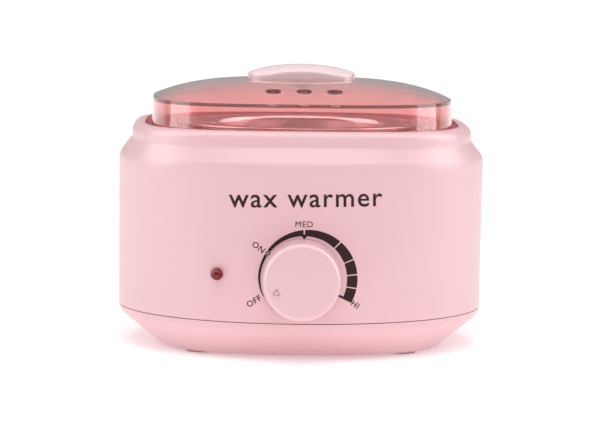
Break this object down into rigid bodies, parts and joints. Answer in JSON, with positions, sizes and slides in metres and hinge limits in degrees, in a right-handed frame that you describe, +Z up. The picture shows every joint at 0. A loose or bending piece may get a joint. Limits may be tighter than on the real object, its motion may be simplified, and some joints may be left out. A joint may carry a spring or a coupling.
{
  "type": "wax warmer pot",
  "caption": "Electric wax warmer: a lift-out aluminium pot in a rounded-square casing, with a tinted clear lid, a front temperature knob and an indicator lamp.",
  "frame": {"origin": "centre of the bounding box's underside, on the surface that the feet stand on; the pot's axis is 7.85 mm behind it", "axes": "+Z up along the pot's axis, -Y towards the control knob, +X to the right of a person who faces the knob"},
  "size_m": [0.185, 0.2032, 0.1413],
  "materials": {
    "casing_plastic": "satin",
    "knob_plastic": "satin",
    "handle_plastic": "gloss",
    "tinted_lid": "clear gloss",
    "aluminium": "polished",
    "steel": "plated",
    "bail_wire": "bright",
    "brass": "plain",
    "rubber": "matte",
    "gland_rubber": "matte",
    "seal_silicone": "matte",
    "lamp_red": "clear gloss",
    "lamp_glass": "clear",
    "terminal_white": "matte",
    "dark_plastic": "matte",
    "heater_mica": "matte",
    "lead_red": "matte",
    "lead_white": "matte"
  },
  "bodies": {
    "casing": {"upper_housing": "casing_plastic", "top_deck": "casing_plastic", "base_shell": "casing_plastic", "rubber_feet": "rubber", "case_screws": "steel", "cord_gland": "gland_rubber", "cord_clamp": "terminal_white", "clamp_screws": "steel", "heater_cup": "aluminium", "cup_seal": "seal_silicone", "cup_brackets": "steel", "bracket_screws": "steel", "heater_band": "heater_mica", "band_strap": "steel", "strap_bolt": "steel", "strap_nut": "steel", "thermal_fuse": "steel", "fuse_clip": "steel", "earth_lug": "brass", "stud_nut": "steel", "thermostat_body": "dark_plastic", "thermostat_tabs": "brass", "thermostat_bush": "brass", "thermostat_nut": "brass", "sensor_bulb": "brass", "bulb_clip": "steel", "capillary_tube": "brass", "indicator_lens": "lamp_red", "indicator_neon": "lamp_glass", "lamp_holder": "terminal_white", "terminal_block": "terminal_white", "terminal_screws": "brass", "lead_supply": "lead_red", "lead_heater": "lead_red", "lead_fuse": "lead_white", "lead_return": "lead_white", "lead_lamp": "lead_red"},
    "knob": {"control_knob": "knob_plastic", "knob_clip": "steel", "thermostat_shaft": "steel"},
    "pot": {"wax_pot": "aluminium", "pot_lugs": "aluminium"},
    "bail": {"bail_handle": "bail_wire"},
    "lid": {"lid_shell": "tinted_lid", "lid_handle": "handle_plastic", "handle_retainer": "handle_plastic", "handle_screw": "steel"}
  },
  "joints": [
    {"name": "pot_lift", "type": "slide", "parent": "casing", "child": "pot", "axis": [0, 0, 1], "range_m": [0, 0.1]},
    {"name": "lid_lift", "type": "slide", "parent": "pot", "child": "lid", "axis": [0, 0, 1], "range_m": [0, 0.12]},
    {"name": "bail_hinge", "type": "hinge", "parent": "pot", "child": "bail", "pos_m": [0, 0.00785, 0.1093], "axis": [-1, 0, 0], "range_deg": [0, 90]},
    {"name": "knob_turn", "type": "hinge", "parent": "casing", "child": "knob", "pos_m": [-0.0012, -0.08465, 0.0409], "axis": [0, 1, 0], "range_deg": [0, 228]}
  ],
  "couplings": [
    {"joint": "bail_hinge", "follows": "lid_lift", "rad_per_m": 13.09}
  ]
}
